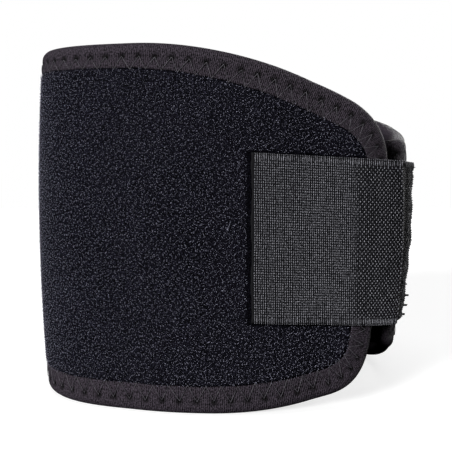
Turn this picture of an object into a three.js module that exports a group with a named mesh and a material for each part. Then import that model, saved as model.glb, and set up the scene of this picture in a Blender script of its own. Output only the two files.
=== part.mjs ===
// A contoured wrist strap, closed as a ring and standing on its lower rim.
//
// One foam-backed strip is wound once round the wrist. Its rounded tip ends at the front right, on the
// outside. The other end comes round the right side, dips in just before the tip and runs on under it. A
// knitted tape binds the strip's whole edge, and a woven hook tab, sewn to the right side, bridges the
// dip and closes on the front.
//
// Millimetres, +Z up, front towards -Y. The strap stands on z = 0, and the middle of its box is x = y = 0.
// Places on the strip are given in its own flat pattern: "along" is the distance from the tip, measured
// on the outer face, "up" is the height, and "out" is the distance outside that face.

import * as THREE from "three";

// The ring in plan: a rounded oval, measured on the outer face.
const HALF_WIDTH = 46.7;
const HALF_DEPTH = 43.0;
const OVAL_POWER = 2.3; // 2 is an ellipse, more is squarer
const TIP_ANGLE = -44; // degrees from +X towards +Y, at the outer end's tip
const DIP_ANGLE = -34.5; // where the inner end starts to dip
const DIP_BEND = 0.78; // the share of the dip in which the strip turns in, before it turns back
const UNDERLAP = 28; // how far the inner end runs on past the tip

// The strip.
const HEIGHT = 80; // finished height with its binding
const WALL = 4.2; // foam with a looped face and a jersey back
const EDGE_WALL = 1.9; // squeezed thin inside the binding
const LAYER_CLEARANCE = 0.4; // between the two layers where the ends overlap

// The binding tape, folded over the edge.
const TAPE = 0.75;
const TAPE_COVER = 6.3; // how far it reaches in from the edge, on each face
const CLEARANCE = 0.3; // between pieces that touch on the real strap
const SQUEEZE_RUN = 0.8; // over which the foam swells to its full wall past the tape
const FOLD_FLAT = 18; // degrees either side of the fold's crown, where it is flat enough to stand on

// The hook tab.
const TAB_HEIGHT = 36.4;
const TAB_REACH = 33.6; // from the strip's tip to the tab's free end
const TAB_SEWN = 12.5; // from the strip's tip back to the tab's sewn end
const TAB_THICKNESS = 0.9;
const TAB_MIDDLE = 0.4605; // height of its middle at the strip's tip, as a share of the strap's
const TAB_RISE = 0.052; // climb towards the free end, per millimetre
const CREST_ANGLE = -43; // where the tab creases, at the edge of its seam
const CREST_SPREAD = 7; // degrees to either side
const CREST_HEIGHT = 0.9;

// The outline near each end, in shares of the height. An edge leaves the full height "reach" back from the
// end and has moved in by "depth" at "neck" back from the end. "curve" is 1 for an even slope that eases in
// and out, and more for one that steepens towards the end. "corner" is the size of the end's round corner.
const TIP_EDGES = {
  top: { reach: 0.755, neck: 0, depth: 0.2275, curve: 2.05, corner: 0.125 },
  bottom: { reach: 0.53, neck: 0, depth: 0.105, curve: 2.05, corner: 0.12 },
};
const INNER_EDGES = {
  top: { reach: 2.5, neck: 0.19, depth: 0.263, curve: 1, corner: 0.15 },
  bottom: { reach: 1.06, neck: 0.225, depth: 0.178, curve: 1, corner: 0.15 },
};
const TIP_SLANT = 0.068; // the tip's end leans back this share of the height from top to bottom

// Where the ring is pressed in, on the left and along the right side, and where it stands out, at the left
// front and the front right. Depths are shares of the half width, and a spread is in degrees to either side.
const PLAN_PRESSES = [
  { angle: -44, spread: 22, depth: -0.08 },
  { angle: -5, spread: 45, depth: 0.048 },
  { angle: -142, spread: 25, depth: -0.043 },
  { angle: 180, spread: 35, depth: 0.028 },
];

// How the soft ring has settled: its left side bulges at mid height, and its right side leans in below
// that and curls in at the top edge.
const BULGE = 1.5;
const RIGHT_LEAN = 4.4;
const LEAN_CURVE = 1.3;
const CURL = 0.3;
const CURL_FROM = 0.65; // shares of the height
const CURL_RUN = 0.15;

// Mesh fineness.
const COLUMN_STEP = 5;
const CORNER_STEPS = 4;
const ROWS = 6;
const TAB_STEP = 3;
const PATH_STEP = 1; // degrees

const radians = THREE.MathUtils.degToRad;
const smooth = (x) => THREE.MathUtils.smoothstep(x, 0, 1);

// A round hump, 1 at its middle angle and 0 from "spread" degrees away.
function hump(angle, middle, spread) {
  const off = THREE.MathUtils.euclideanModulo(angle - middle + 180, 360) - 180;
  const share = Math.min(Math.abs(off) / spread, 1);
  return (1 - share * share) ** 2;
}

// The outer face's distance from the middle, at an angle in degrees.
function planRadius(angle) {
  const c = Math.abs(Math.cos(radians(angle))) / HALF_WIDTH;
  const s = Math.abs(Math.sin(radians(angle))) / HALF_DEPTH;
  let radius = (c ** OVAL_POWER + s ** OVAL_POWER) ** (-1 / OVAL_POWER);
  for (const press of PLAN_PRESSES) {
    radius -= HALF_WIDTH * press.depth * hump(angle, press.angle, press.spread);
  }
  return radius;
}

// A path round the ring, starting at the tip's angle and running front, left, back and right. "turn" is
// the angle turned through, and inset(turn) moves the path in. The result gives the point and the outward
// direction at a distance along it.
function ringPath(firstTurn, lastTurn, inset) {
  const pointAt = (turn) => {
    const angle = TIP_ANGLE - turn;
    const radius = planRadius(angle) - inset(turn);
    return new THREE.Vector2(radius * Math.cos(radians(angle)), radius * Math.sin(radians(angle)));
  };
  const steps = Math.ceil((lastTurn - firstTurn) / PATH_STEP);
  const turns = [];
  const lengths = [];
  let length = 0;
  let before = pointAt(firstTurn);
  for (let i = 0; i <= steps; i++) {
    const turn = firstTurn + ((lastTurn - firstTurn) * i) / steps;
    const point = pointAt(turn);
    length += point.distanceTo(before);
    turns.push(turn);
    lengths.push(length);
    before = point;
  }
  const interpolate = (x, xs, ys) => {
    let i = 1;
    while (i < xs.length - 1 && xs[i] < x) i++;
    const share = (x - xs[i - 1]) / (xs[i] - xs[i - 1]);
    return ys[i - 1] + share * (ys[i] - ys[i - 1]);
  };
  const atTip = interpolate(0, turns, lengths);
  return {
    lengthTo: (turn) => interpolate(turn, turns, lengths) - atTip,
    at(distance) {
      const turn = interpolate(distance + atTip, lengths, turns);
      const ahead = pointAt(turn + PATH_STEP / 2).sub(pointAt(turn - PATH_STEP / 2)).normalize();
      return { point: pointAt(turn), outward: new THREE.Vector2(-ahead.y, ahead.x) };
    },
  };
}

// The strip's inner end drops in by one layer before the tip, on two parabolas that meet in one slope.
const LAYER = WALL + LAYER_CLEARANCE;
const DIP_START = 360 + TIP_ANGLE - DIP_ANGLE;
function dip(turn) {
  const share = THREE.MathUtils.clamp((turn - DIP_START) / (360 - DIP_START), 0, 1);
  return LAYER * (share < DIP_BEND ? share ** 2 / DIP_BEND : 1 - (1 - share) ** 2 / (1 - DIP_BEND));
}
const crest = (turn) => -CREST_HEIGHT * hump(TIP_ANGLE - turn, CREST_ANGLE, CREST_SPREAD);
const stripPath = ringPath(0, 500, dip);
const tabPath = ringPath(-90, 120, crest);
const STRIP_LENGTH = stripPath.lengthTo(360) + UNDERLAP;

// Moves a point of the round, upright ring to where the soft one has settled.
function settle(point) {
  const middle = HEIGHT / 2;
  const fromMiddle = (point.z - middle) / middle;
  const left = smooth(-point.x / HALF_WIDTH);
  const right = smooth((2 * point.x) / HALF_WIDTH - 1);
  const low = Math.max(-fromMiddle, 0) ** LEAN_CURVE;
  point.x -= BULGE * left * (1 - fromMiddle * fromMiddle);
  point.x -= RIGHT_LEAN * right * low;
  point.x -= CURL * right * smooth((point.z / HEIGHT - CURL_FROM) / CURL_RUN);
  return point;
}

// The point in space of a place on the flat pattern.
function place(path, along, up, out) {
  const { point, outward } = path.at(along);
  return settle(new THREE.Vector3(point.x + out * outward.x, point.y + out * outward.y, up));
}

// How far an edge has moved in from the full height, at a distance back from the end.
function edgeShift(edge, back) {
  const share = THREE.MathUtils.clamp((edge.reach - back / HEIGHT) / (edge.reach - edge.neck), 0, 1);
  return HEIGHT * edge.depth * (edge.curve === 1 ? smooth(share) : share ** edge.curve);
}

// The strip's outline as two rows of points, tip to inner end: the top edge and, under it, the bottom one.
function stripEdges() {
  const upAt = {
    top: (along) =>
      HEIGHT - edgeShift(TIP_EDGES.top, along) - edgeShift(INNER_EDGES.top, STRIP_LENGTH - along),
    bottom: (along) =>
      edgeShift(TIP_EDGES.bottom, along) + edgeShift(INNER_EDGES.bottom, STRIP_LENGTH - along),
  };
  const columns = Math.round(STRIP_LENGTH / COLUMN_STEP);
  const edges = {};
  for (const side of ["top", "bottom"]) {
    const upSign = side === "top" ? -1 : 1;
    const slant = side === "top" ? 0 : TIP_SLANT * HEIGHT;
    const tipCorner = TIP_EDGES[side].corner * HEIGHT;
    const innerCorner = INNER_EDGES[side].corner * HEIGHT;
    // A corner bends from the end's straight edge to the long edge.
    const corner = (endAlong, inwards, size, lean) => {
      const apex = new THREE.Vector2(endAlong, upAt[side](endAlong));
      const onEnd = new THREE.Vector2(endAlong + lean, apex.y + upSign * size);
      const along = endAlong + inwards * size;
      const onEdge = new THREE.Vector2(along, upAt[side](along));
      return new THREE.QuadraticBezierCurve(onEnd, apex, onEdge).getPoints(CORNER_STEPS);
    };
    const endHeight = upAt.top(0) - upAt.bottom(0);
    const lean = (-upSign * TIP_SLANT * HEIGHT * tipCorner) / endHeight;
    const points = corner(slant, 1, tipCorner, lean);
    const inner = corner(STRIP_LENGTH, -1, innerCorner, 0).reverse();
    const start = points.at(-1).x;
    const end = inner[0].x;
    for (let i = 1; i < columns; i++) {
      const along = start + ((end - start) * i) / columns;
      points.push(new THREE.Vector2(along, upAt[side](along)));
    }
    edges[side] = [...points, ...inner];
  }
  return edges;
}

// The outline as one loop: along the top, down the inner end, back along the bottom and up the tip.
function outlineLoop() {
  const { top, bottom } = stripEdges();
  const loop = [...top];
  for (let row = 1; row < ROWS; row++) loop.push(top.at(-1).clone().lerp(bottom.at(-1), row / ROWS));
  loop.push(...bottom.toReversed());
  for (let row = 1; row < ROWS; row++) loop.push(bottom[0].clone().lerp(top[0], row / ROWS));
  return { loop, columns: top.length };
}

const { loop: OUTLINE, columns: COLUMNS } = outlineLoop();
const INWARD = OUTLINE.map((_, i) => {
  const next = OUTLINE[(i + 1) % OUTLINE.length];
  const last = OUTLINE.at(i - 1);
  return new THREE.Vector2(next.y - last.y, last.x - next.x).normalize();
});
const inFromEdge = (i, distance) => OUTLINE[i].clone().addScaledVector(INWARD[i], distance);

// Collects the points and faces of one closed mesh.
class Surface {
  points = [];
  faces = [];

  add(point) {
    this.points.push(point.x, point.y, point.z);
    return this.points.length / 3 - 1;
  }

  quad(a, b, c, d) {
    this.faces.push(a, b, c, a, c, d);
  }

  // Joins two rows of the same number of points with a band of faces.
  strip(row, next, closed) {
    const count = closed ? row.length : row.length - 1;
    for (let i = 0; i < count; i++) {
      const j = (i + 1) % row.length;
      this.quad(row[i], row[j], next[j], next[i]);
    }
  }

  mesh(name, color, roughness) {
    const geometry = new THREE.BufferGeometry();
    geometry.setAttribute("position", new THREE.Float32BufferAttribute(this.points, 3));
    geometry.setIndex(this.faces);
    geometry.computeVertexNormals();
    const material = new THREE.MeshStandardMaterial({ color, roughness, metalness: 0 });
    const mesh = new THREE.Mesh(geometry, material);
    mesh.name = name;
    return mesh;
  }
}

// The foam strip: full wall inside, thin where the binding grips it.
function neopreneBand() {
  const surface = new Surface();
  const gripEnd = TAPE_COVER + CLEARANCE;
  const edgeGap = TAPE + EDGE_WALL / 2;
  const rings = [
    { distance: edgeGap, wall: EDGE_WALL },
    { distance: gripEnd, wall: EDGE_WALL },
    { distance: gripEnd + SQUEEZE_RUN, wall: WALL },
  ];
  const sides = [1, -1].map((side) => {
    const out = (wall) => (side * wall - WALL) / 2;
    const vertex = (spot, wall) => surface.add(place(stripPath, spot.x, spot.y, out(wall)));
    const loops = rings.map((ring) =>
      OUTLINE.map((_, i) => vertex(inFromEdge(i, ring.distance), ring.wall)),
    );
    const inner = loops.at(-1);
    const total = OUTLINE.length;
    const flat = OUTLINE.map((_, i) => inFromEdge(i, rings.at(-1).distance));
    // Each row of the middle runs from the tip to the inner end, and its ends are points of the inner loop.
    const rows = [inner.slice(0, COLUMNS)];
    for (let row = 1; row < ROWS; row++) {
      const points = [inner[total - row]];
      for (let column = 1; column < COLUMNS - 1; column++) {
        const low = flat[2 * COLUMNS + ROWS - 2 - column];
        points.push(vertex(flat[column].clone().lerp(low, row / ROWS), WALL));
      }
      points.push(inner[COLUMNS - 1 + row]);
      rows.push(points);
    }
    rows.push(inner.slice(COLUMNS + ROWS - 1, 2 * COLUMNS + ROWS - 1).reverse());
    return { loops, rows };
  });
  const [outer, inner] = sides;
  for (let i = 0; i < rings.length - 1; i++) {
    surface.strip(outer.loops[i], outer.loops[i + 1], true);
    surface.strip(inner.loops[i + 1], inner.loops[i], true);
  }
  for (let i = 0; i < ROWS; i++) {
    surface.strip(outer.rows[i], outer.rows[i + 1], false);
    surface.strip(inner.rows[i + 1], inner.rows[i], false);
  }
  surface.strip(inner.loops[0], outer.loops[0], true);
  return surface.mesh("neoprene_band", 0x1e1d25, 0.95);
}

// The binding's folded section, as distances in from the edge and out from the strip's middle layer.
function tapeSection() {
  const outerHalf = EDGE_WALL / 2 + CLEARANCE + TAPE;
  const innerHalf = outerHalf - TAPE;
  const middle = outerHalf * Math.cos(radians(FOLD_FLAT));
  const fold = (half, turns) =>
    turns.map((turn) => ({
      edge: middle - half * Math.cos(radians(turn)),
      out: half * Math.sin(radians(turn)),
    }));
  const shoulder = (90 + FOLD_FLAT) / 2;
  const turns = [90, shoulder, FOLD_FLAT, -FOLD_FLAT, -shoulder, -90];
  return [
    { edge: TAPE_COVER, out: outerHalf },
    ...fold(outerHalf, turns),
    { edge: TAPE_COVER, out: -outerHalf },
    { edge: TAPE_COVER, out: -innerHalf },
    ...fold(innerHalf, turns.toReversed()),
    { edge: TAPE_COVER, out: innerHalf },
  ];
}

function edgeBinding() {
  const surface = new Surface();
  const section = tapeSection();
  const rows = section.map((corner) =>
    OUTLINE.map((_, i) => {
      const spot = inFromEdge(i, corner.edge);
      return surface.add(place(stripPath, spot.x, spot.y, corner.out - WALL / 2));
    }),
  );
  rows.forEach((row, i) => surface.strip(rows[(i + 1) % rows.length], row, true));
  return surface.mesh("edge_binding", 0x35313a, 0.85);
}

// The hook tab: a flat woven tape laid round the outside of the ring.
function hookTab() {
  const surface = new Surface();
  const columns = Math.round((TAB_REACH + TAB_SEWN) / TAB_STEP);
  const rowsAt = (out) => {
    const rows = [];
    for (let row = 0; row <= ROWS; row++) {
      const points = [];
      for (let column = 0; column <= columns; column++) {
        const along = -TAB_SEWN + ((TAB_REACH + TAB_SEWN) * column) / columns;
        const up = TAB_MIDDLE * HEIGHT + TAB_RISE * along + TAB_HEIGHT * (0.5 - row / ROWS);
        points.push(surface.add(place(tabPath, along, up, out)));
      }
      rows.push(points);
    }
    return rows;
  };
  const back = rowsAt(CLEARANCE);
  const face = rowsAt(CLEARANCE + TAB_THICKNESS);
  const border = (rows) => [
    ...rows[0],
    ...rows.slice(1, -1).map((row) => row.at(-1)),
    ...rows.at(-1).toReversed(),
    ...rows.slice(1, -1).map((row) => row[0]).reverse(),
  ];
  for (let i = 0; i < ROWS; i++) {
    surface.strip(face[i], face[i + 1], false);
    surface.strip(back[i + 1], back[i], false);
  }
  surface.strip(border(back), border(face), true);
  return surface.mesh("hook_tab", 0x3a3a3d, 0.7);
}

const strap = new THREE.Group();
strap.add(neopreneBand(), edgeBinding(), hookTab());
const boxMiddle = new THREE.Box3().setFromObject(strap).getCenter(new THREE.Vector3());
strap.position.set(-boxMiddle.x, -boxMiddle.y, 0);

export default strap;
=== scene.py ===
# A contoured wrist strap, closed as a ring and standing on its lower rim.
#
# The pieces follow the flat pattern that the CAD solids are made from, in millimetres, laid on the same
# path round the wrist with finer detail. "along" is the distance from the strip's tip, measured on the
# outer face, "up" is the height, and "out" is the distance outside that face.

import math

import bpy
import numpy as np
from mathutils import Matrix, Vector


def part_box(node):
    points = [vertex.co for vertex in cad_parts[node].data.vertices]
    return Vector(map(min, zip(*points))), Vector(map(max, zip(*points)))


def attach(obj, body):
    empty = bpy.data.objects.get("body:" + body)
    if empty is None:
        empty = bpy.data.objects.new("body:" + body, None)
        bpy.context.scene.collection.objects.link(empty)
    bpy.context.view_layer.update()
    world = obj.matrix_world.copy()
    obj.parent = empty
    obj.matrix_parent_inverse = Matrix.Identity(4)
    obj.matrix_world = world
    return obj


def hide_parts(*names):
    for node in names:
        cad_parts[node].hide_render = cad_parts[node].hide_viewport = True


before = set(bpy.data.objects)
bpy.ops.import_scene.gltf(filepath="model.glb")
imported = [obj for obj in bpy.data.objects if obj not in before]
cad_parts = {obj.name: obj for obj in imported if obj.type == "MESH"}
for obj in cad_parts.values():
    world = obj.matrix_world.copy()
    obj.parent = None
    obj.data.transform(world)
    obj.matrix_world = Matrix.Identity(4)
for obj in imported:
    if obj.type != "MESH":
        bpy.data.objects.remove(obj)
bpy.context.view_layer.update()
rng = np.random.default_rng(7)

METRES = 0.001

# The ring in plan.
HALF_WIDTH = 46.7
HALF_DEPTH = 43.0
OVAL_POWER = 2.3
TIP_ANGLE = -44
DIP_ANGLE = -34.5
DIP_BEND = 0.78
UNDERLAP = 28
PLAN_PRESSES = [(-44, 22, -0.08), (-5, 45, 0.048), (-142, 25, -0.043), (180, 35, 0.028)]

# The strip.
HEIGHT = 80
WALL = 4.2
EDGE_WALL = 1.9
LAYER = WALL + 0.4

# The binding tape.
TAPE = 0.75
TAPE_COVER = 6.3
CLEARANCE = 0.3
FOLD_FLAT = 18

# The hook tab.
TAB_HEIGHT = 36.4
TAB_REACH = 33.6
TAB_SEWN = 12.5
TAB_MIDDLE = 0.4605
TAB_RISE = 0.052
CREST_ANGLE = -43
CREST_SPREAD = 7
CREST_HEIGHT = 0.9

# The outline near each end, in shares of the height.
TIP_EDGES = {
    "top": {"reach": 0.755, "neck": 0, "depth": 0.2275, "curve": 2.05, "corner": 0.125},
    "bottom": {"reach": 0.53, "neck": 0, "depth": 0.105, "curve": 2.05, "corner": 0.12},
}
INNER_EDGES = {
    "top": {"reach": 2.5, "neck": 0.19, "depth": 0.263, "curve": 1, "corner": 0.15},
    "bottom": {"reach": 1.06, "neck": 0.225, "depth": 0.178, "curve": 1, "corner": 0.15},
}
TIP_SLANT = 0.068

# How the soft ring has settled.
BULGE = 1.5
RIGHT_LEAN = 4.4
LEAN_CURVE = 1.3
CURL = 0.3
CURL_FROM = 0.65
CURL_RUN = 0.15


def smooth(x):
    x = np.clip(x, 0, 1)
    return x * x * (3 - 2 * x)


def hump(angle, middle, spread):
    off = (angle - middle + 180) % 360 - 180
    share = np.minimum(np.abs(off) / spread, 1)
    return (1 - share**2) ** 2


def plan_radius(angle):
    c = np.abs(np.cos(np.radians(angle))) / HALF_WIDTH
    s = np.abs(np.sin(np.radians(angle))) / HALF_DEPTH
    radius = (c**OVAL_POWER + s**OVAL_POWER) ** (-1 / OVAL_POWER)
    for middle, spread, depth in PLAN_PRESSES:
        radius = radius - HALF_WIDTH * depth * hump(angle, middle, spread)
    return radius


TURN_STEP = 0.25  # degrees


class RingPath:
    """A path from the tip's angle round the front, left, back and right, moved in by inset(turn)."""

    def __init__(self, first_turn, last_turn, inset):
        self.inset = inset
        self.turns = np.arange(first_turn, last_turn + TURN_STEP, TURN_STEP)
        steps = np.linalg.norm(np.diff(self.point(self.turns), axis=0), axis=1)
        lengths = np.concatenate([[0], np.cumsum(steps)])
        self.lengths = lengths - np.interp(0, self.turns, lengths)

    def point(self, turn):
        angle = TIP_ANGLE - turn
        radius = plan_radius(angle) - self.inset(turn)
        return np.stack([radius * np.cos(np.radians(angle)), radius * np.sin(np.radians(angle))], -1)

    def at(self, distance):
        turn = np.interp(distance, self.lengths, self.turns)
        ahead = self.point(turn + 2 * TURN_STEP) - self.point(turn - 2 * TURN_STEP)
        ahead /= np.linalg.norm(ahead, axis=-1, keepdims=True)
        return self.point(turn), np.stack([-ahead[..., 1], ahead[..., 0]], -1)


DIP_START = 360 + TIP_ANGLE - DIP_ANGLE


def dip(turn):
    share = np.clip((turn - DIP_START) / (360 - DIP_START), 0, 1)
    turning_in = share**2 / DIP_BEND
    turning_back = 1 - (1 - share) ** 2 / (1 - DIP_BEND)
    return LAYER * np.where(share < DIP_BEND, turning_in, turning_back)


def crest(turn):
    return -CREST_HEIGHT * hump(TIP_ANGLE - turn, CREST_ANGLE, CREST_SPREAD)


strip_path = RingPath(0, 500, dip)
tab_path = RingPath(-90, 120, crest)
STRIP_LENGTH = np.interp(360, strip_path.turns, strip_path.lengths) + UNDERLAP


def settle(x, y, z):
    """Bulges the left side, and leans the right side in towards its foot and a little at its top."""
    from_middle = (z - HEIGHT / 2) / (HEIGHT / 2)
    left = smooth(-x / HALF_WIDTH)
    right = smooth(2 * x / HALF_WIDTH - 1)
    low = np.maximum(-from_middle, 0) ** LEAN_CURVE
    moved = x - BULGE * left * (1 - from_middle**2)
    moved = moved - RIGHT_LEAN * right * low
    moved = moved - CURL * right * smooth((z / HEIGHT - CURL_FROM) / CURL_RUN)
    return np.stack([moved, y, z], -1)


def place_in_plan(path, along, up, out):
    along, up, out = np.broadcast_arrays(np.asarray(along, float), up, out)
    point, outward = path.at(along)
    return settle(point[..., 0] + out * outward[..., 0], point[..., 1] + out * outward[..., 1], up)


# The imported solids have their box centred, so the plan moves by what their band's box says.
reference = place_in_plan(strip_path, np.linspace(0, STRIP_LENGTH, 2000), HEIGHT / 2, 0)
band_low, band_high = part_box("neoprene_band")
PLAN_SHIFT = np.array(
    [
        band_low[0] / METRES - reference[:, 0].min(),
        band_high[1] / METRES - reference[:, 1].max(),
        0,
    ]
)


def place(path, along, up, out):
    """The points in metres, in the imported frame, of places on the flat pattern."""
    return (place_in_plan(path, along, up, out) + PLAN_SHIFT) * METRES


OUTWARD_STEP = 0.2


def directions(path, along, up, out, run):
    """At places on the pattern, the vector of a run (along, up) in metres and the outward direction."""
    start = place(path, along - run[..., 0] / 2, up - run[..., 1] / 2, out)
    end = place(path, along + run[..., 0] / 2, up + run[..., 1] / 2, out)
    rise = place(path, along, up, out + OUTWARD_STEP) - place(path, along, up, out)
    return end - start, rise / np.linalg.norm(rise, axis=-1, keepdims=True)


# Outline of the strip


def edge_shift(edge, back):
    share = np.clip((edge["reach"] - back / HEIGHT) / (edge["reach"] - edge["neck"]), 0, 1)
    return HEIGHT * edge["depth"] * (smooth(share) if edge["curve"] == 1 else share ** edge["curve"])


def edge_height(side, along):
    shift = edge_shift(TIP_EDGES[side], along) + edge_shift(INNER_EDGES[side], STRIP_LENGTH - along)
    return HEIGHT - shift if side == "top" else shift


def round_corner(start, apex, end, steps):
    t = np.linspace(0, 1, steps + 1)[:, None]
    return (1 - t) ** 2 * start + 2 * t * (1 - t) * apex + t**2 * end


def strip_edge(side, columns, corner_steps):
    """One long edge with its two round corners, from the tip to the inner end."""
    inwards = -1 if side == "top" else 1
    slant = TIP_SLANT * HEIGHT
    tip_size = TIP_EDGES[side]["corner"] * HEIGHT
    inner_size = INNER_EDGES[side]["corner"] * HEIGHT
    tip_height = edge_height("top", 0) - edge_height("bottom", 0)
    tip_along = 0 if side == "top" else slant
    tip_up = edge_height(side, tip_along)
    tip = round_corner(
        np.array([tip_along - inwards * slant * tip_size / tip_height, tip_up + inwards * tip_size]),
        np.array([tip_along, tip_up]),
        np.array([tip_along + tip_size, edge_height(side, tip_along + tip_size)]),
        corner_steps,
    )
    inner_up = edge_height(side, STRIP_LENGTH)
    inner = round_corner(
        np.array([STRIP_LENGTH - inner_size, edge_height(side, STRIP_LENGTH - inner_size)]),
        np.array([STRIP_LENGTH, inner_up]),
        np.array([STRIP_LENGTH, inner_up + inwards * inner_size]),
        corner_steps,
    )
    along = np.linspace(tip[-1, 0], inner[0, 0], columns + 1)[1:-1]
    middle = np.stack([along, edge_height(side, along)], -1)
    return np.concatenate([tip, middle, inner])


def outline_loop(columns, corner_steps, rows):
    """Clockwise: the top edge, down the inner end, the bottom edge and up the tip."""
    top = strip_edge("top", columns, corner_steps)
    bottom = strip_edge("bottom", columns, corner_steps)
    shares = (np.arange(1, rows) / rows)[:, None]
    inner_end = top[-1] + shares * (bottom[-1] - top[-1])
    tip_end = bottom[0] + shares * (top[0] - bottom[0])
    return np.concatenate([top, inner_end, bottom[::-1], tip_end]), len(top)


def inward_of(loop):
    ahead = np.roll(loop, -1, 0) - np.roll(loop, 1, 0)
    inward = np.stack([ahead[:, 1], -ahead[:, 0]], -1)
    return inward / np.linalg.norm(inward, axis=1, keepdims=True)


def even_loop(step):
    """The outline again, in equal steps of about the given length, and its whole length."""
    dense, _ = outline_loop(1600, 60, 200)
    closed = np.concatenate([dense, dense[:1]])
    lengths = np.concatenate([[0], np.cumsum(np.linalg.norm(np.diff(closed, axis=0), axis=1))])
    count = round(lengths[-1] / step)
    at = np.arange(count) * lengths[-1] / count
    return np.stack([np.interp(at, lengths, closed[:, k]) for k in (0, 1)], -1), lengths[-1]


# Along the top the tape reaches less far in by this much, from one place to another with soft ends.
COVER_LESS = 1.15
LESS_FROM = 15
LESS_RUN_IN = 65
LESS_TO = 185
LESS_RUN_OUT = 60
LESS_PAST = 3  # distances in from the edge
LESS_PAST_RUN = 2


def covered(spots, distance):
    """A distance in from the edge, as the tape really lies."""
    along, up = spots[:, 0], spots[:, 1]
    narrow = smooth((along - LESS_FROM) / LESS_RUN_IN) * smooth((LESS_TO - along) / LESS_RUN_OUT)
    narrow = narrow * (up > HEIGHT / 2)
    return distance - COVER_LESS * narrow * smooth((distance - LESS_PAST) / LESS_PAST_RUN)


# Meshes


def in_scene(name, data):
    item = bpy.data.objects.new(name, data)
    bpy.context.scene.collection.objects.link(item)
    return item


class Surface:
    """Collects the points, pattern coordinates and faces of one closed mesh."""

    def __init__(self):
        self.points = []
        self.pattern = []
        self.faces = []
        self.finishes = []
        self.needle = []
        self.count = 0

    def add(self, points, pattern, needle=0):
        points = points.reshape(-1, 3)
        self.points.append(points)
        self.pattern.append(np.broadcast_to(pattern, points.shape[:1] + (2,)))
        self.needle.append(np.broadcast_to(needle, points.shape[:1]))
        self.count += len(points)
        return np.arange(self.count - len(points), self.count)

    def strip(self, row, after, closed, finish=0):
        quads = np.stack([row, np.roll(row, -1), np.roll(after, -1), after], -1)
        quads = quads if closed else quads[:-1]
        self.faces.append(quads)
        self.finishes.append(np.full(len(quads), finish))

    def build(self, name, materials, turn=None):
        points = np.concatenate(self.points)
        pattern = np.concatenate(self.pattern)
        faces = np.concatenate(self.faces)
        mesh = bpy.data.meshes.new(name)
        mesh.from_pydata(points.tolist(), [], faces.tolist())
        corners = pattern[faces]
        if turn:
            # Where the loop closes, the low end of the pattern goes on from the high one.
            wraps = np.ptp(corners[..., 0], axis=1) > turn / 2
            corners[..., 0] += turn * (wraps[:, None] & (corners[..., 0] < turn / 2))
        mesh.uv_layers.new(name="pattern").data.foreach_set("uv", corners.ravel().astype(np.float32))
        needle = np.concatenate(self.needle).astype(np.float32)
        if needle.any():
            mesh.attributes.new("needle", "FLOAT", "POINT").data.foreach_set("value", needle)
        for material in materials:
            mesh.materials.append(material)
        mesh.polygons.foreach_set("material_index", np.concatenate(self.finishes).astype(np.int32))
        mesh.polygons.foreach_set("use_smooth", np.ones(len(faces), bool))
        mesh.update()
        return in_scene(name, mesh)


# Nodes and colours


def linear(hex_colour):
    """An sRGB hex colour as linear RGBA."""
    values = [int(hex_colour[i : i + 2], 16) / 255 for i in (0, 2, 4)]
    return (*(v / 12.92 if v <= 0.04045 else ((v + 0.055) / 1.055) ** 2.4 for v in values), 1)


def add(tree, kind, inputs=None, **settings):
    """Adds a node. Settings are its properties, and inputs are values or the sockets to link from."""
    node = tree.nodes.new(kind)
    for name, value in settings.items():
        setattr(node, name, value)
    for key, value in (inputs or {}).items():
        if isinstance(value, bpy.types.NodeSocket):
            tree.links.new(value, node.inputs[key])
        else:
            node.inputs[key].default_value = value
    return node


def maths(tree, operation, *values):
    return add(tree, "ShaderNodeMath", dict(enumerate(values)), operation=operation).outputs[0]


def noise(tree, spot, scale, **inputs):
    return add(tree, "ShaderNodeTexNoise", {"Vector": spot, "Scale": scale, **inputs}).outputs["Fac"]


def rescaled(tree, value, inputs, **settings):
    """A value carried from one range to another, each 0 to 1 unless the inputs say otherwise."""
    return add(tree, "ShaderNodeMapRange", {"Value": value, **inputs}, **settings).outputs[0]


def blend(tree, share, first, second):
    """The colour that lies a share of the way from the first to the second."""
    return add(tree, "ShaderNodeMix", {0: share, 6: first, 7: second}, data_type="RGBA").outputs[2]


def bumped(tree, height, strength, depth):
    """The normal of a surface that a height of 1 raises by the depth in millimetres."""
    inputs = {"Height": height, "Strength": strength, "Distance": depth * METRES}
    return add(tree, "ShaderNodeBump", inputs).outputs[0]


def object_place(tree):
    return add(tree, "ShaderNodeTexCoord").outputs["Object"]


def pattern_place(tree):
    return add(tree, "ShaderNodeUVMap", uv_map="pattern").outputs[0]


def new_material(name):
    material = bpy.data.materials.new(name)
    material.use_nodes = True
    material.node_tree.nodes.clear()
    return material, material.node_tree


def finish_material(tree, looks):
    shader = add(tree, "ShaderNodeBsdfPrincipled", looks)
    add(tree, "ShaderNodeOutputMaterial", {"Surface": shader.outputs[0]})


# Painted shade on the pile beside the tab: where it starts and ends, and its darkest tone.
TAB_SHADE_FROM = 0.1
TAB_SHADE_BESIDE = 1.3
TAB_SHADE_TONE = 0.4
WALE_PITCH = 0.7
WAVES_PER_UNIT = 3.18  # of the wave texture at a scale of 1
PER_MM = 1 / METRES  # Object coordinates are metres, so this scale makes one noise cell a millimetre


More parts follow.
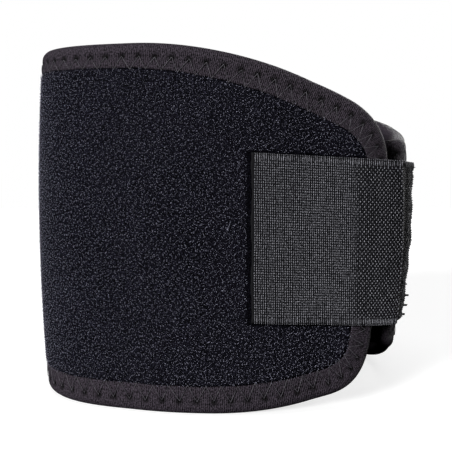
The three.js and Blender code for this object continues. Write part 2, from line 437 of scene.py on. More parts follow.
def brushed_loop_pile():
    """Unbroken-loop nylon brushed up on foam rubber: matt curly fibres that catch a cool edge light."""
    material, tree = new_material("brushed_nylon_pile")
    spot = object_place(tree)
    fibres = noise(tree, spot, 5.0 * PER_MM, Detail=2, Roughness=0.7, Distortion=0.4)
    clouds = noise(tree, spot, 0.06 * PER_MM, Detail=3)
    lit = maths(tree, "POWER", rescaled(tree, fibres, {"From Min": 0.44, "From Max": 0.7}), 1.7)
    colour = blend(tree, lit, linear("040405"), linear("343341"))
    drift = rescaled(tree, clouds, {"To Min": 0.7, "To Max": 1.3})
    # Within about a millimetre of the tab the pile is painted darker: a painted shade beside the tab.
    pattern = pattern_place(tree)
    level = add(
        tree,
        "ShaderNodeVectorMath",
        {0: pattern, 1: (-TAB_RISE, 1, 0)},
        operation="DOT_PRODUCT",
    )
    across = maths(tree, "SUBTRACT", level.outputs["Value"], TAB_MIDDLE * HEIGHT)
    along = add(tree, "ShaderNodeSeparateXYZ", {0: pattern}).outputs[0]
    past_end = maths(tree, "SUBTRACT", along, TAB_REACH - TAB_HEIGHT / 2)
    beside = maths(tree, "MAXIMUM", maths(tree, "ABSOLUTE", across), past_end)
    tab_shade_range = {
        "From Min": TAB_HEIGHT / 2 + TAB_SHADE_FROM,
        "From Max": TAB_HEIGHT / 2 + TAB_SHADE_BESIDE,
        "To Min": TAB_SHADE_TONE,
    }
    painted_tab_shade = rescaled(tree, beside, tab_shade_range, interpolation_type="SMOOTHSTEP")
    drifted = add(
        tree,
        "ShaderNodeVectorMath",
        {0: colour, "Scale": maths(tree, "MULTIPLY", drift, painted_tab_shade)},
        operation="SCALE",
    )
    looks = {
        "Base Color": drifted.outputs[0],
        "Roughness": 0.95,
        "Specular IOR Level": 0.01,
        "Sheen Weight": 0.02,
        "Sheen Roughness": 0.4,
        "Sheen Tint": linear("8587b5"),
        "Normal": bumped(tree, fibres, 0.8, 0.3),
    }
    finish_material(tree, looks)
    return material


def knitted_jersey():
    """Nylon jersey laminated to the foam's back: fine wales with a soft shine."""
    material, tree = new_material("knitted_nylon_jersey")
    scale = 1 / WALE_PITCH / WAVES_PER_UNIT
    wales = add(
        tree,
        "ShaderNodeTexWave",
        {"Vector": pattern_place(tree), "Scale": scale, "Distortion": 1.5, "Detail": 2},
        bands_direction="X",
    ).outputs["Fac"]
    looks = {
        "Base Color": blend(tree, wales, linear("0c0c0f"), linear("1e1d23")),
        "Roughness": 0.75,
        "Specular IOR Level": 0.08,
        "Sheen Weight": 0.02,
        "Sheen Roughness": 0.4,
        "Normal": bumped(tree, wales, 0.5, 0.12),
    }
    finish_material(tree, looks)
    return material


def ribbed_tape(ribs_per_mm):
    """Knitted nylon binding with a purple-grey satin and ribs across it."""
    material, tree = new_material("ribbed_nylon_binding")
    pattern = pattern_place(tree)
    along = add(tree, "ShaderNodeSeparateXYZ", {0: pattern}).outputs[0]
    wobble = noise(tree, pattern, 0.8, Detail=2)
    ribs = maths(tree, "SINE", maths(tree, "MULTIPLY_ADD", along, ribs_per_mm * math.tau, wobble))
    rib_height = rescaled(tree, ribs, {"From Min": -1, "To Max": 1.7})
    stretched = add(tree, "ShaderNodeMapping", {"Vector": pattern, "Scale": (2.2, 1.5, 1)})
    yarn = noise(tree, stretched.outputs[0], 1.4, Detail=2, Roughness=0.6)
    yarn_range = {"From Min": 0.38, "From Max": 0.62, "To Max": 2.2}
    height = maths(tree, "ADD", rib_height, rescaled(tree, yarn, yarn_range, clamp=False))
    # The tone follows the ribs' and yarn's height: the crests are a painted highlight and the grooves a
    # painted shade.
    tone = rescaled(tree, height, {"From Min": 0.6, "From Max": 3.2})
    colour = blend(tree, tone, linear("08070a"), linear("463f48"))
    # The needle attribute is painted shade in the needle holes, drawn near black.
    needle = add(tree, "ShaderNodeAttribute", attribute_name="needle").outputs["Fac"]
    looks = {
        "Base Color": blend(tree, needle, colour, linear("020202")),
        "Roughness": 0.6,
        "Specular IOR Level": 0.1,
        "Sheen Weight": 0.02,
        "Sheen Roughness": 0.35,
        "Sheen Tint": linear("c9c0d6"),
        "Normal": bumped(tree, height, 0.7, 0.1),
    }
    finish_material(tree, looks)
    return material


def woven_ground():
    """Ground weave of nylon hook tape, between and under the raised floats: coloured far darker than the
    floats' yarn as painted shade in the gaps, with a faint satin.
    """
    material, tree = new_material("woven_nylon_ground")
    tone = noise(tree, pattern_place(tree), 2.5, Detail=3)
    looks = {
        "Base Color": blend(tree, tone, linear("0a0a0b"), linear("19191c")),
        "Roughness": 0.7,
        "Specular IOR Level": 0.06,
    }
    finish_material(tree, looks)
    return material


def spun_yarn(name, dark, light, cell, roughness, gloss):
    """Nylon or polyester filaments: a satin strand whose tone drifts over cells of so many millimetres."""
    material, tree = new_material(name)
    cells = noise(tree, object_place(tree), PER_MM / cell, Detail=2)
    tone = rescaled(tree, cells, {"From Min": 0.3, "From Max": 0.7})
    looks = {
        "Base Color": blend(tree, tone, linear(dark), linear(light)),
        "Roughness": roughness,
        "Specular IOR Level": gloss,
    }
    finish_material(tree, looks)
    return material


# Threads, all from one Geometry Nodes tree


def arched_thread_tree():
    """Puts an arched strand at each point, whose "run" gives its length and direction, "outward" its up
    and "lift" the share of the rise that it has."""
    tree = bpy.data.node_groups.new("arched_thread", "GeometryNodeTree")
    sockets = [
        ("Points", "INPUT", "NodeSocketGeometry"),
        ("Radius", "INPUT", "NodeSocketFloat"),
        ("Rise", "INPUT", "NodeSocketFloat"),
        ("Steps", "INPUT", "NodeSocketInt"),
        ("Sides", "INPUT", "NodeSocketInt"),
        ("Finish", "INPUT", "NodeSocketMaterial"),
        ("Strands", "OUTPUT", "NodeSocketGeometry"),
    ]
    for name, way, kind in sockets:
        tree.interface.new_socket(name, in_out=way, socket_type=kind)
    given = add(tree, "NodeGroupInput").outputs
    # A curve reaches half the height of its middle handle.
    middle = add(tree, "ShaderNodeCombineXYZ", {"Z": maths(tree, "MULTIPLY", given["Rise"], 2.0)})
    arch = add(
        tree,
        "GeometryNodeCurveQuadraticBezier",
        {
            "Resolution": given["Steps"],
            "Start": (-0.5, 0, 0),
            "Middle": middle.outputs[0],
            "End": (0.5, 0, 0),
        },
    )
    ring = add(
        tree,
        "GeometryNodeCurvePrimitiveCircle",
        {"Resolution": given["Sides"], "Radius": given["Radius"]},
    )
    strand = add(
        tree,
        "GeometryNodeCurveToMesh",
        {"Curve": arch.outputs[0], "Profile Curve": ring.outputs[0], "Fill Caps": True},
    )
    run = add(tree, "GeometryNodeInputNamedAttribute", {"Name": "run"}, data_type="FLOAT_VECTOR")
    outward = add(tree, "GeometryNodeInputNamedAttribute", {"Name": "outward"}, data_type="FLOAT_VECTOR")
    lift = add(tree, "GeometryNodeInputNamedAttribute", {"Name": "lift"}, data_type="FLOAT")
    length = add(tree, "ShaderNodeVectorMath", {0: run.outputs[0]}, operation="LENGTH")
    size = add(
        tree,
        "ShaderNodeCombineXYZ",
        {"X": length.outputs["Value"], "Y": 1.0, "Z": lift.outputs[0]},
    )
    facing = add(
        tree,
        "FunctionNodeAxesToRotation",
        {"Primary Axis": outward.outputs[0], "Secondary Axis": run.outputs[0]},
        primary_axis="Z",
        secondary_axis="X",
    )
    placed = add(
        tree,
        "GeometryNodeInstanceOnPoints",
        {
            "Points": given["Points"],
            "Instance": strand.outputs[0],
            "Rotation": facing.outputs[0],
            "Scale": size.outputs[0],
        },
    )
    real = add(tree, "GeometryNodeRealizeInstances", {"Geometry": placed.outputs[0]})
    finished = add(
        tree,
        "GeometryNodeSetMaterial",
        {"Geometry": real.outputs[0], "Material": given["Finish"]},
    )
    add(tree, "NodeGroupOutput", {"Strands": finished.outputs[0]})
    return tree


def threads(name, tree, points, run, outward, lift, values):
    """Runs the tree on the points and returns the result as a plain mesh."""
    mesh = bpy.data.meshes.new(name + "_points")
    mesh.from_pydata(points.reshape(-1, 3).tolist(), [], [])
    for key, kind, field, data in (
        ("run", "FLOAT_VECTOR", "vector", run),
        ("outward", "FLOAT_VECTOR", "vector", outward),
        ("lift", "FLOAT", "value", lift),
    ):
        layer = mesh.attributes.new(key, kind, "POINT")
        layer.data.foreach_set(field, np.ascontiguousarray(data, np.float32).ravel())
    carrier = in_scene(name + "_points", mesh)
    modifier = carrier.modifiers.new("threads", "NODES")
    modifier.node_group = tree
    for item in tree.interface.items_tree:
        if item.in_out == "INPUT" and item.name in values:
            modifier[item.identifier] = values[item.name]
    evaluated = carrier.evaluated_get(bpy.context.evaluated_depsgraph_get())
    result = bpy.data.meshes.new_from_object(evaluated)
    result.name = name
    result.polygons.foreach_set("use_smooth", np.ones(len(result.polygons), bool))
    bpy.data.objects.remove(carrier)
    return in_scene(name, result)


# The strip

BAND_COLUMNS = 330
BAND_CORNER_STEPS = 14
BAND_ROWS = 56
# Distance in from the edge, and the foam's wall there: gripped thin by the tape, then swelling past it.
BAND_PROFILE = [
    (TAPE + EDGE_WALL / 2, EDGE_WALL),
    (4.4, EDGE_WALL),
    (6.25, 2.0),
    (6.36, 2.7),
    (6.42, 3.4),
    (6.6, 3.9),
    (6.9, 4.1),
    (7.4, WALL),
]
OUTSIDE, INSIDE = 0, 1  # the strip's two finishes


def neoprene_band(pile, jersey):
    loop, columns = outline_loop(BAND_COLUMNS, BAND_CORNER_STEPS, BAND_ROWS)
    inward = inward_of(loop)
    total = len(loop)
    surface = Surface()
    sides = []
    for side in (1, -1):
        loops = []
        for distance, wall in BAND_PROFILE:
            spots = loop + covered(loop, distance)[:, None] * inward
            out = (side * wall - WALL) / 2
            loops.append(surface.add(place(strip_path, spots[:, 0], spots[:, 1], out), spots))
        top = spots[:columns]
        bottom = spots[columns + BAND_ROWS - 1 : total - BAND_ROWS + 1][::-1]
        inner = loops[-1]
        rows = [inner[:columns]]
        for row in range(1, BAND_ROWS):
            between = top[1:-1] + row / BAND_ROWS * (bottom[1:-1] - top[1:-1])
            out = (side - 1) * WALL / 2
            ids = surface.add(place(strip_path, between[:, 0], between[:, 1], out), between)
            rows.append(np.concatenate([[inner[total - row]], ids, [inner[columns - 1 + row]]]))
        rows.append(inner[columns + BAND_ROWS - 1 : total - BAND_ROWS + 1][::-1])
        sides.append((loops, rows))
    (outer_loops, outer_rows), (inner_loops, inner_rows) = sides
    for i in range(len(BAND_PROFILE) - 1):
        surface.strip(outer_loops[i], outer_loops[i + 1], True, OUTSIDE)
        surface.strip(inner_loops[i + 1], inner_loops[i], True, INSIDE)
    for i in range(BAND_ROWS):
        surface.strip(outer_rows[i], outer_rows[i + 1], False, OUTSIDE)
        surface.strip(inner_rows[i + 1], inner_rows[i], False, INSIDE)
    surface.strip(inner_loops[0], outer_loops[0], True, OUTSIDE)
    return surface.build("foam_strip", [pile, jersey])


# The binding

BINDING_STEP = 0.45
STITCH_PITCH = 3.8
STITCH_OUTER = 2.95  # distances in from the edge
STITCH_INNER = 6.45
STITCH_RADIUS = 0.07
STITCH_RISE = 0.14
# How the needle pulls the tape in at the outer and inner points, and how strong the painted shade in the
# needle holes there is.
NEEDLE_PULL = 0.35
INNER_PULL_SHARE = 0.6
HOLE_SHADE_OUTER = 1.6
HOLE_SHADE_INNER = 0.5
NEEDLE_SPREAD = 0.46
CHANNEL = 0.1  # pressed into the tape between the two rows of points
# Along the tip's upper edge the threads have sunk into the tape.
SUNK_STITCH = 0.1
SUNK_TO = 45
SUNK_RUN = 25
RIB_PITCH = 0.42  # drawn wider than the real 0.33, so that the ribs show
OUTER_HALF = EDGE_WALL / 2 + CLEARANCE + TAPE

binding_loop, BINDING_LENGTH = even_loop(BINDING_STEP)
binding_inward = inward_of(binding_loop)
STITCHES = round(BINDING_LENGTH / STITCH_PITCH)
RIBS_PER_MM = round(BINDING_LENGTH / RIB_PITCH) / BINDING_LENGTH


def tape_section():
    """The folded tape's section: in from the edge, out from the middle layer, and length across it."""
    inner_half = OUTER_HALF - TAPE
    middle = OUTER_HALF * math.cos(math.radians(FOLD_FLAT))
    rounded = 0.22
    face = [TAPE_COVER - rounded * k for k in (0, 0.3, 1)] + [5.6, 5.0, 4.4, 3.8, 3.4, 3.1, 2.8, 2.3]
    drop = [rounded * k for k in (1.2, 0.4, 0)] + [0] * 8
    turns = np.radians(np.linspace(90, -90, 13))
    fold = [(max(middle - OUTER_HALF * math.cos(t), 0), OUTER_HALF * math.sin(t)) for t in turns]
    near = [(edge, OUTER_HALF - low) for edge, low in zip(face, drop)]
    far = [(edge, -out) for edge, out in reversed(near)]
    under_turns = np.radians(np.linspace(-90, 90, 7))
    under = [(middle - inner_half * math.cos(t), inner_half * math.sin(t)) for t in under_turns]
    section = [*near, *fold, *far, (TAPE_COVER - 0.1, -inner_half), *under, (TAPE_COVER - 0.1, inner_half)]
    section = np.array(section)
    across = np.concatenate([[0], np.cumsum(np.linalg.norm(np.diff(section, axis=0), axis=1))])
    return section, across


def edge_binding(material):
    section, across = tape_section()
    count = len(binding_loop)
    run = np.arange(count) * BINDING_LENGTH / count
    phase = run * STITCHES / BINDING_LENGTH
    to_outer = (phase - np.round(phase)) * BINDING_LENGTH / STITCHES
    to_inner = (phase - np.floor(phase) - 0.5) * BINDING_LENGTH / STITCHES
    ripple = 0.05 * np.sin(run * 0.61) + 0.04 * np.sin(run * 0.23 + 1)
    surface = Surface()
    rows = []
    for (edge, out), width in zip(section, across):
        on_face = abs(out) > OUTER_HALF - 0.3 and edge > 2
        near_outer = np.exp(-(to_outer**2 + (edge - STITCH_OUTER) ** 2) / (2 * NEEDLE_SPREAD**2))
        near_inner = np.exp(-(to_inner**2 + (edge - STITCH_INNER) ** 2) / (2 * NEEDLE_SPREAD**2))
        channel = CHANNEL * smooth(edge - 2.4) * (1 - smooth((edge - 4.6) / 1.6))
        pull = on_face * (NEEDLE_PULL * (near_outer + INNER_PULL_SHARE * near_inner) + channel)
        wave = ripple * smooth((edge - 3) / 3)
        spots = binding_loop + (covered(binding_loop, edge) + wave)[:, None] * binding_inward
        height = out - np.sign(out) * pull - WALL / 2
        points = place(strip_path, spots[:, 0], spots[:, 1], height)
        # Painted shade in the needle holes, kept in the needle attribute.
        painted_hole_shade = on_face * np.minimum(HOLE_SHADE_OUTER * near_outer + HOLE_SHADE_INNER * near_inner, 1)
        rows.append(surface.add(points, np.stack([run, np.full(count, width)], -1), painted_hole_shade))
    for row, after in zip(rows, rows[1:] + rows[:1]):
        surface.strip(after, row, True)
    return surface.build("folded_tape", [material], BINDING_LENGTH)


def zigzag(name, tree, material, side):
    """The stitch that holds the tape: arched threads between the outer and the inner needle points."""
    count = STITCHES * 2
    holes = np.arange(count + 1) / 2 * BINDING_LENGTH / STITCHES
    edges = np.where(np.arange(count + 1) % 2, STITCH_INNER, STITCH_OUTER)
    edges = edges + rng.normal(0, 0.12, count + 1)
    holes = holes + rng.normal(0, 0.1, count + 1)
    lengths = np.arange(len(binding_loop) + 1) * BINDING_LENGTH / len(binding_loop)
    on_loop = holes % BINDING_LENGTH
    closed = np.concatenate([binding_loop, binding_loop[:1]])
    inward = np.concatenate([binding_inward, binding_inward[:1]])
    base = np.stack([np.interp(on_loop, lengths, closed[:, k]) for k in (0, 1)], -1)
    lean = np.stack([np.interp(on_loop, lengths, inward[:, k]) for k in (0, 1)], -1)
    spots = base + covered(base, edges)[:, None] * lean
    middle = (spots[1:] + spots[:-1]) / 2
    run = spots[1:] - spots[:-1]
    sunk = smooth((SUNK_TO - middle[:, 0]) / SUNK_RUN) * (middle[:, 1] > HEIGHT / 2)
    out = side * (OUTER_HALF - 0.08 - SUNK_STITCH * sunk) - WALL / 2
    points = place(strip_path, middle[:, 0], middle[:, 1], out)
    vectors, outward = directions(strip_path, middle[:, 0], middle[:, 1], out, run)
    values = {
        "Radius": STITCH_RADIUS * METRES,
        "Rise": STITCH_RISE * METRES,
        "Steps": 7,
        "Sides": 6,
        "Finish": material,
    }
    return threads(name, tree, points, vectors, side * outward, np.ones(count), values)


# The hook tab

TAB_COLUMNS = 150
TAB_ROWS = 60
GROUND_THICKNESS = 0.62
WORN_EDGE = 0.35
WORN_SHARE = 0.6


def tab_up(along, across):
    """Height of a place on the tab, where across is the distance from its middle line."""
    return TAB_MIDDLE * HEIGHT + TAB_RISE * along + across


def tab_ends(across):
    """Where the tab's sewn end and its free end lie, both slightly wavy from their cuts."""
    free = TAB_REACH - 0.25 + 0.12 * np.sin(across * 0.5) + 0.06 * np.sin(across * 1.7 + 1)
    sewn = -TAB_SEWN + 0.2 + 0.12 * np.sin(across * 0.8 + 2) + 0.1 * np.sin(across * 2.3)
    return sewn, free


SEAM_ALONG = -8.4
SEAM_PULL = 0.18
CREASE_ALONG = -0.8
CREASE_SLANT = 0.044
CREASE_WAVE = 0.12
CREASE = 0.35
HOLLOW_ALONG = -4.6
HOLLOW = 1.1
FLARE_FROM = -9.4
FLARE_RUN = 2.6
FLARE = 0.6
CORNER_FLARE = 0.45
CORNER_SIZE = 2.2


def ridge(along, middle, spread):
    return np.exp(-(((along - middle) / spread) ** 2))


def tab_lift(along, across):
    """The tab creases where it leaves the tip and sags over the dip. The seam pulls it down, and past that
    the cut end stands up, most of all at its upper corner."""
    bent_at = CREASE_ALONG + CREASE_SLANT * across + CREASE_WAVE * np.sin(across * 0.5)
    seam = -SEAM_PULL * ridge(along, SEAM_ALONG, 0.5)
    crease = CREASE * ridge(along, bent_at, 0.6)
    hollow = -HOLLOW * ridge(along, HOLLOW_ALONG, 2.2)
    past_seam = smooth((FLARE_FROM - along) / FLARE_RUN)
    flare = FLARE * past_seam * (0.75 + 0.25 * np.sin(across * 0.9 + 1))
    corner = CORNER_FLARE * past_seam * smooth((across - TAB_HEIGHT / 2 + CORNER_SIZE) / 1.2)
    return seam + crease + hollow + flare + corner


def hook_tab(material):
    # The rows lie closer together near the tab's long edges.
    bunched = TAB_HEIGHT / 2 * np.sin(np.linspace(math.pi / 2, -math.pi / 2, TAB_ROWS + 1))
    across = 0.6 * bunched + 0.4 * np.linspace(TAB_HEIGHT / 2, -TAB_HEIGHT / 2, TAB_ROWS + 1)
    sewn, free = tab_ends(across)
    shares = np.linspace(0, 1, TAB_COLUMNS + 1)
    along = sewn[:, None] + (free - sewn)[:, None] * shares
    up = tab_up(along, across[:, None])
    from_edge = TAB_HEIGHT / 2 - np.abs(across)
    worn = 1 - np.clip(1 - from_edge / WORN_EDGE, 0, 1) ** 2 * WORN_SHARE
    pattern = np.stack([along, np.broadcast_to(across[:, None], along.shape)], -1).reshape(-1, 2)
    surface = Surface()
    half = GROUND_THICKNESS / 2 * worn[:, None]
    middle = CLEARANCE + GROUND_THICKNESS / 2 + tab_lift(along, across[:, None])
    face = surface.add(place(tab_path, along, up, middle + half), pattern).reshape(along.shape)
    back = surface.add(place(tab_path, along, up, middle - half), pattern).reshape(along.shape)
    for i in range(TAB_ROWS):
        surface.strip(face[i], face[i + 1], False)
        surface.strip(back[i + 1], back[i], False)

    def border(grid):
        return np.concatenate([grid[0], grid[1:-1, -1], grid[-1, ::-1], grid[1:-1, 0][::-1]])

    surface.strip(border(back), border(face), True)
    return surface.build("hook_tape_ground", [material])


WEFT_PITCH = 0.46
WARP_PITCH = 0.536
SELVAGE = 1.35
WEAVE_START = 0.5  # from the sewn end's cut to the first column
WEAVE_MARGINS = 0.9
LOOSE_FROM = 5
LOOSE_RUN = 12
WEFT_LENGTH = 0.4
WARP_LENGTH = 0.42
TIGHT_SUNK = 0.06
SELVAGE_SUNK = 0.13
PLACE_JITTER = 0.025
RUN_JITTER = 0.03


def tab_threads(name, tree, material, along, across, run, radius, rise, lift=1, sunk=0):
    """Yarns on the tab's face, each with its run as (along, across)."""
    up = tab_up(along, across)
    slanted = np.stack([run[..., 0], run[..., 1] + TAB_RISE * run[..., 0]], -1)
    out = CLEARANCE + GROUND_THICKNESS - 0.03 - sunk + tab_lift(along, across)
    points = place(tab_path, along, up, out)
    vectors, outward = directions(tab_path, along, up, out, slanted)
    values = {
        "Radius": radius * METRES,
        "Rise": rise * METRES,
        "Steps": 3,
        "Sides": 4,
        "Finish": material,
    }
    uneven = lift * (1 + rng.normal(0, 0.12, along.shape))
    return threads(name, tree, points, vectors, outward, uneven, values)


def tab_weave(tree, weft, warp):
    """A plain weave with a dot at each crossing. Towards the sewn end it is drawn tight, and there every
    second crossing shows the flatter warp instead."""
    columns = int((TAB_REACH + TAB_SEWN - WEAVE_MARGINS) / WEFT_PITCH)
    rows = int((TAB_HEIGHT - 2 * SELVAGE) / WARP_PITCH)
    column, row = np.meshgrid(np.arange(columns), np.arange(rows))
    across = (row - (rows - 1) / 2) * WARP_PITCH
    wander = 0.05 * np.sin(across * 0.37 + column * 0.11) + 0.008 * rng.normal(size=(1, columns))
    in_fours = -0.012 * (column % 4 - 1.5)
    along = -TAB_SEWN + WEAVE_START + column * WEFT_PITCH + wander + in_fours
    loose = smooth((along - LOOSE_FROM) / LOOSE_RUN)
    on_top = (row + column) % 2 == 0
    jitter = rng.normal(0, PLACE_JITTER, (2,) + along.shape)
    places = np.stack([along + jitter[0], across + jitter[1]])
    upright = on_top | (loose > 0.2)
    length = WEFT_LENGTH - 0.07 * loose[upright]
    upright_run = np.stack([rng.normal(0, RUN_JITTER, length.shape), length], -1)
    upright_lift = np.where(on_top, 1, loose)[upright]
    # In the selvages only the weft shows, in long upright turns that reach in by turns.
    edge_along = np.tile(along[0], 2)
    reach_in = SELVAGE + 0.35 + 0.25 * (np.arange(2 * columns) % 2)
    edge_across = np.repeat([-1, 1], columns) * (TAB_HEIGHT / 2 - 0.05 - reach_in / 2)
    edge_run = np.stack([rng.normal(0, 0.05, 2 * columns), reach_in], -1)
    upright_places = places[:, upright]
    upright_along = np.concatenate([upright_places[0], edge_along])
    upright_across = np.concatenate([upright_places[1], edge_across])
    upright_run = np.concatenate([upright_run, edge_run])
    upright_lift = np.concatenate([upright_lift, np.ones(2 * columns)])
    sunk = np.concatenate([TIGHT_SUNK * (1 - loose[upright]), np.full(2 * columns, SELVAGE_SUNK)])
    flat_along, flat_across = places[:, ~on_top & (loose < 0.8)]
    flat_lengths = np.full(flat_along.shape, WARP_LENGTH)
    flat_run = np.stack([flat_lengths, rng.normal(0, RUN_JITTER, flat_along.shape)], -1)
    wefts = tab_threads(
        "weft_floats",
        tree,
        weft,
        upright_along,
        upright_across,
        upright_run,
        radius=0.12,
        rise=0.14,
        lift=upright_lift,
        sunk=sunk,
    )
    warps = tab_threads(
        "warp_floats", tree, warp, flat_along, flat_across, flat_run, radius=0.09, rise=0.03
    )
    return [wefts, warps]


SEAM_STITCHES = 23
SEAM_FROM_EDGE = 1.2


def tab_seam(tree, material):
    """The zigzag that sews the tab on, close to its cut end."""
    reach = TAB_HEIGHT / 2 - SEAM_FROM_EDGE
    across = np.linspace(-reach, reach, SEAM_STITCHES + 1)
    swing = np.where(np.arange(SEAM_STITCHES + 1) % 2, 1.0, -1.0)
    along = SEAM_ALONG + swing + rng.normal(0, 0.08, SEAM_STITCHES + 1)
    spots = np.stack([along, across], -1)
    middle = (spots[1:] + spots[:-1]) / 2
    run = spots[1:] - spots[:-1]
    return tab_threads(
        "tab_seam", tree, material, middle[:, 0], middle[:, 1], run, radius=0.11, rise=0.25
    )


# Where across the tab a yarn stands off its cut end, and how long it is.
LONG_ENDS = [(-15.2, 1.1), (-12.9, 1.0), (-17.4, 0.9), (-10.3, 0.5)]
STRANDS_PER_END = 6
SHORT_STRANDS = 16


def frayed_ends(tree, material):
    """Yarn ends that have worked loose and stand off the tab's cut end, the longest at its lower corner."""
    spread = rng.uniform(-TAB_HEIGHT / 2, TAB_HEIGHT / 2, SHORT_STRANDS)
    tips = np.concatenate([np.repeat([end for end, _ in LONG_ENDS], STRANDS_PER_END), spread])
    short = rng.uniform(0.15, 0.3, SHORT_STRANDS)
    length = np.concatenate([np.repeat([size for _, size in LONG_ENDS], STRANDS_PER_END), short])
    count = len(tips)
    across = tips + rng.uniform(-0.35, 0.35, count) * length
    along = -TAB_SEWN + 0.45 + rng.uniform(-0.1, 0.1, count)
    up = tab_up(along, across)
    out = CLEARANCE + GROUND_THICKNESS + tab_lift(along, across)
    start = place(tab_path, along, up, out)
    tip_up = tab_up(along, tips) - 0.4 * length
    end = place(tab_path, along - 0.5 * length, tip_up, out + 0.85 * length)
    upward = np.tile((0.0, 0.0, 1.0), (count, 1))
    values = {
        "Radius": 0.11 * METRES,
        "Rise": 0.08 * METRES,
        "Steps": 4,
        "Sides": 4,
        "Finish": material,
    }
    return threads("frayed_ends", tree, (start + end) / 2, end - start, upward, np.ones(count), values)


# The pile

PILE_PIECES = 3
LOOPS_PER_PIECE = 22000
LOOPS_LAID = 4 * LOOPS_PER_PIECE  # before those under the tab and the overlap are left out
FIBRE_RADIUS = 0.055
PILE_FROM_EDGE = 6.35
PILE_FROM_TAB = 0.4
PILE_FROM_FREE_END = 0.35
PILE_FROM_SEWN_SIDE = 0.3
PILE_FROM_OVERLAP = 5
# Steps by these two irrational shares spread the loops evenly at any count.
SHARE_ALONG = 0.7548776662
SHARE_ACROSS = 0.5698402910
PILE_JITTER = 0.22
# Where a few loops have been pulled up, left of the tab.
TUFT = (38.2, 40.7)
TUFT_RADIUS = 1.1
TUFT_GROWTH = 1.2


def pile_places():
    """Places for the fibres on the strip's outer face, clear of the tape, the tab and the overlap."""
    loop, columns = outline_loop(BAND_COLUMNS, BAND_CORNER_STEPS, BAND_ROWS)
    inset = loop + covered(loop, PILE_FROM_EDGE)[:, None] * inward_of(loop)
    top = inset[:columns]
    bottom = inset[columns + BAND_ROWS - 1 : len(loop) - BAND_ROWS + 1][::-1]
    widths = np.linalg.norm(top - bottom, axis=1)
    steps = np.linalg.norm(np.diff((top + bottom) / 2, axis=0), axis=1)
    area = np.concatenate([[0], np.cumsum(steps * (widths[1:] + widths[:-1]) / 2)])
    number = np.arange(LOOPS_LAID)
    at = np.interp(number * SHARE_ALONG % 1 * area[-1], area, np.arange(columns))
    share = (number * SHARE_ACROSS % 1)[:, None]
    upper = np.stack([np.interp(at, np.arange(columns), top[:, k]) for k in (0, 1)], -1)
    lower = np.stack([np.interp(at, np.arange(columns), bottom[:, k]) for k in (0, 1)], -1)
    spots = upper + share * (lower - upper) + rng.normal(0, PILE_JITTER, (LOOPS_LAID, 2))
    along, up = spots[:, 0], spots[:, 1]
    from_tab = np.abs(up - tab_up(along, 0))
    under_tab = (along < TAB_REACH + PILE_FROM_FREE_END) & (from_tab < TAB_HEIGHT / 2 + PILE_FROM_TAB)
    wrap = STRIP_LENGTH - UNDERLAP
    from_sewn = np.abs(up - tab_up(along - wrap, 0))
    under_sewn = from_sewn < TAB_HEIGHT / 2 + PILE_FROM_SEWN_SIDE
    under_sewn &= along > wrap - TAB_SEWN - PILE_FROM_TAB
    return spots[~under_tab & ~under_sewn & (along < wrap - PILE_FROM_OVERLAP)]


def pile_loops(material):
    """Curled fibres standing on the strip's outer face."""
    spots = pile_places()
    pieces = []
    for number in range(PILE_PIECES):
        chosen = spots[number * LOOPS_PER_PIECE : (number + 1) * LOOPS_PER_PIECE]
        turn = rng.uniform(0, math.tau, len(chosen))
        from_tuft = np.linalg.norm(chosen - TUFT, axis=1)
        pulled_up = smooth(2 - 2 * from_tuft / TUFT_RADIUS)
        length = rng.uniform(0.16, 0.42, len(chosen)) * (1 + TUFT_GROWTH * pulled_up)
        run = np.stack([length * np.cos(turn), length * np.sin(turn)], -1)
        out = rng.uniform(-0.02, 0.1, len(chosen))
        points = place(strip_path, chosen[:, 0], chosen[:, 1], out)
        vectors, outward = directions(strip_path, chosen[:, 0], chosen[:, 1], out, run)
        pieces.append(fibre_loops(f"pile_loops_{number + 1}", material, points, vectors, outward))
    return pieces


def fibre_loops(name, material, points, run, outward):
    """Bowed fibres, each a spindle: two ends and a raised triangle between them."""
    count = len(points)
    rise = rng.uniform(0.04, 0.1, count)[:, None] * METRES
    sideways = np.cross(outward, run)
    sideways *= FIBRE_RADIUS * METRES / np.linalg.norm(sideways, axis=1, keepdims=True)
    middle = points + rise * outward
    crown = middle + FIBRE_RADIUS * METRES * outward
    corners = [points - run / 2, points + run / 2, middle + sideways, middle - sideways, crown]
    sides = [(0, 2, 4), (0, 4, 3), (0, 3, 2), (1, 4, 2), (1, 3, 4), (1, 2, 3)]
    faces = (5 * np.arange(count)[:, None, None] + np.array(sides)).reshape(-1, 3)
    mesh = bpy.data.meshes.new(name)
    mesh.from_pydata(np.stack(corners, 1).reshape(-1, 3).tolist(), [], faces.tolist())
    mesh.materials.append(material)
    return in_scene(name, mesh)


# Making the pieces

pile_finish = brushed_loop_pile()
jersey_finish = knitted_jersey()
binding_finish = ribbed_tape(RIBS_PER_MM)
ground_finish = woven_ground()
stitch_finish = spun_yarn("grey_polyester_thread", "2f2d32", "5c595f", 1.2, 0.5, 0.15)
weft_finish = spun_yarn("nylon_weft_yarn", "2c2c30", "8c8c93", 0.3, 0.5, 0.12)
warp_finish = spun_yarn("nylon_warp_yarn", "141416", "3a3a3f", 0.45, 0.5, 0.1)
loose_finish = spun_yarn("loose_nylon_yarn", "08080a", "1c1c1f", 0.5, 0.6, 0.1)
# The fibre loops are coloured far lighter than the pile's own shader: a painted highlight on the raised
# fibres.
fibre_finish = spun_yarn("curled_nylon_fibre", "33333e", "9c9cae", 0.4, 0.6, 0.15)

thread_tree = arched_thread_tree()
band = neoprene_band(pile_finish, jersey_finish)
binding = edge_binding(binding_finish)
tab = hook_tab(ground_finish)
outer_zigzag = zigzag("zigzag_outside", thread_tree, stitch_finish, 1)
inner_zigzag = zigzag("zigzag_inside", thread_tree, stitch_finish, -1)
weave = tab_weave(thread_tree, weft_finish, warp_finish)
seam = tab_seam(thread_tree, weft_finish)
frayed = frayed_ends(thread_tree, loose_finish)
pile = pile_loops(fibre_finish)


# Floor, light and camera


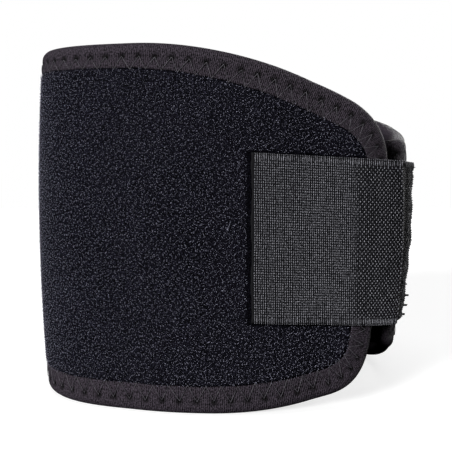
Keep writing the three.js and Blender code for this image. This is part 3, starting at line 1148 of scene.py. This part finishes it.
def floor():
    """The white acrylic sheet of a light table, lit from below so that shadows on it stay faint."""
    mesh = bpy.data.meshes.new("floor")
    half = 0.6
    corners = [(-half, -half, 0), (half, -half, 0), (half, half, 0), (-half, half, 0)]
    mesh.from_pydata(corners, [], [(0, 1, 2, 3)])
    material, tree = new_material("pale_matt_floor")
    looks = {
        "Base Color": linear("c0c0c0"),
        "Roughness": 0.9,
        "Specular IOR Level": 0.0,
        "Emission Color": (1, 1, 1, 1),
        "Emission Strength": 0.7,
    }
    finish_material(tree, looks)
    mesh.materials.append(material)
    return in_scene("floor", mesh)


def soft_light(name, from_direction, strength, angle):
    """A broad studio lamp, far enough off to light the floor evenly."""
    light = bpy.data.lights.new(name, "SUN")
    light.energy = strength
    light.angle = math.radians(angle)
    lamp = in_scene(name, light)
    x, y, z = from_direction
    lamp.rotation_euler = (math.atan2(math.hypot(x, y), z), 0, math.atan2(x, -y))


# The floor and the white backdrop light nothing, so that the strap's hollows stay dark.
ground = floor()
ground.visible_diffuse = False
ground.visible_glossy = False
soft_light("key", (-0.72, -1, 0.4), 4.7, 16)
soft_light("right", (1, 0.6, 0.12), 1.3, 40)
soft_light("back", (0.5, 1, 0.3), 1.7, 36)
soft_light("top", (0, 0, 1), 0.9, 40)
world = bpy.data.worlds.new("studio")
world.use_nodes = True
world.node_tree.nodes.clear()
backdrop = add(world.node_tree, "ShaderNodeBackground", {"Color": (1, 1, 1, 1)})
add(world.node_tree, "ShaderNodeOutputWorld", {"Surface": backdrop.outputs[0]})
world.cycles_visibility.diffuse = False
world.cycles_visibility.glossy = False
scene = bpy.context.scene
scene.world = world
scene.view_settings.view_transform = "Standard"

# The camera, fitted to the photograph in the plan's millimetres: level across, pitched a little down.
EYE = np.array([-0.69, -222, 57.374])
PITCH = 5.156
camera_data = bpy.data.cameras.new("camera")
camera_data.lens = 67.58
camera_data.sensor_width = 36
camera_data.clip_start = 0.01
camera = in_scene("camera", camera_data)
camera.location = (EYE + PLAN_SHIFT) * METRES
camera.rotation_euler = (math.radians(90 - PITCH), 0, 0)
scene.camera = camera

# What each piece stands for

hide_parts("neoprene_band")
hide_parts("edge_binding")
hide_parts("hook_tab")
SLOTS = {
    "loop_neoprene": [band, *pile],
    "binding_tape": [binding, outer_zigzag, inner_zigzag],
    "hook_tape": [tab, *weave, seam, frayed],
}
for slot_name, slot_pieces in SLOTS.items():
    for piece in slot_pieces:
        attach(piece, "root")
